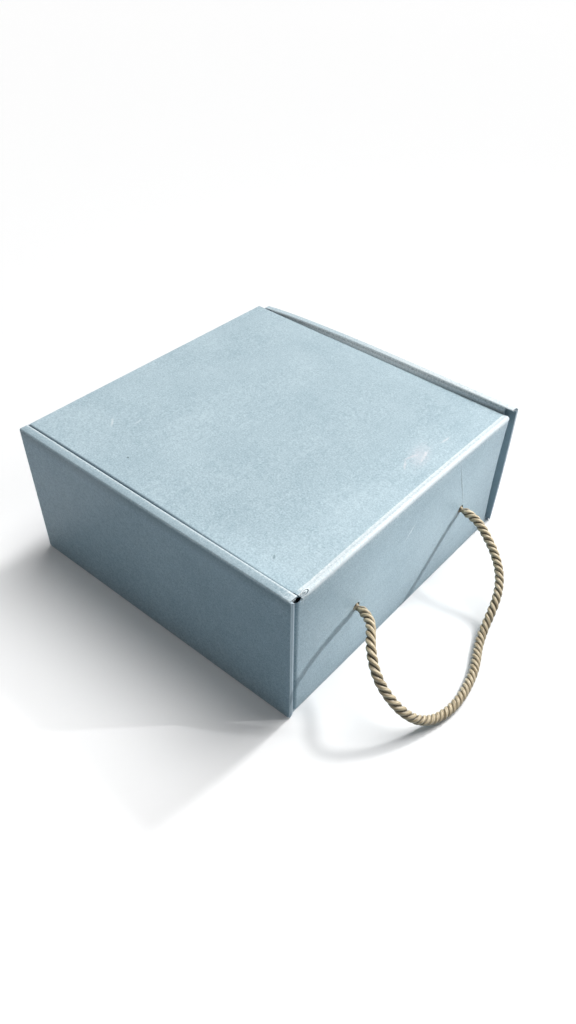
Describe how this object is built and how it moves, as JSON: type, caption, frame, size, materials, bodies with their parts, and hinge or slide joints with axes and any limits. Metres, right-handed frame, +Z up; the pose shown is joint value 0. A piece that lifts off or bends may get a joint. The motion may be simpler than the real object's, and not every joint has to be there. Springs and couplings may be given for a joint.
{
  "type": "rigid gift box",
  "caption": "Folded paperboard gift box with rolled side walls, a double-creased lid with a magnetic front flap, and a twisted rope handle through the hinge wall.",
  "frame": {"origin": "bottom centre of the closed box, without its rope: middle of its depth and width, on the surface it stands on", "axes": "+X towards the hinge wall that carries the rope, +Y towards the left side wall as seen by someone who faces the front flap, +Z up"},
  "size_m": [0.319, 0.252, 0.1062],
  "materials": {
    "paper": "2 mm paperboard covered with light blue pearlescent paper, satin",
    "cord": "three-strand twisted beige cord, dull with a faint sheen",
    "magnet": "nickel-plated disc magnet"
  },
  "bodies": {
    "box_body": {"base_panel": "paper", "hinge_wall": "paper", "front_wall": "paper", "right_outer_wall": "paper", "left_outer_wall": "paper", "right_top_strip": "paper", "left_top_strip": "paper", "right_inner_wall": "paper", "left_inner_wall": "paper", "rear_right_corner_flap": "paper", "rear_left_corner_flap": "paper", "front_right_corner_flap": "paper", "front_left_corner_flap": "paper", "carry_rope": "cord", "rope_knot_right": "cord", "rope_knot_left": "cord", "right_wall_magnet": "magnet", "left_wall_magnet": "magnet"},
    "strip": {"hinge_strip": "paper"},
    "lid": {"lid_panel": "paper"},
    "flap": {"front_flap": "paper", "right_flap_magnet": "magnet", "left_flap_magnet": "magnet"}
  },
  "joints": [
    {"name": "strip_fold", "type": "hinge", "parent": "box_body", "child": "strip", "pos_m": [0.11908, 0, 0.1027], "axis": [0, 1, 0], "range_deg": [0, 90]},
    {"name": "lid_fold", "type": "hinge", "parent": "strip", "child": "lid", "pos_m": [0.11467, 0, 0.1024], "axis": [0, 1, 0], "range_deg": [0, 90]},
    {"name": "flap_fold", "type": "hinge", "parent": "lid", "child": "flap", "pos_m": [-0.12064, 0, 0.10584], "axis": [0, 1, 0], "range_deg": [0, 95]}
  ],
  "couplings": [
    {"joint": "strip_fold", "follows": "lid_fold", "ratio": 1}
  ]
}
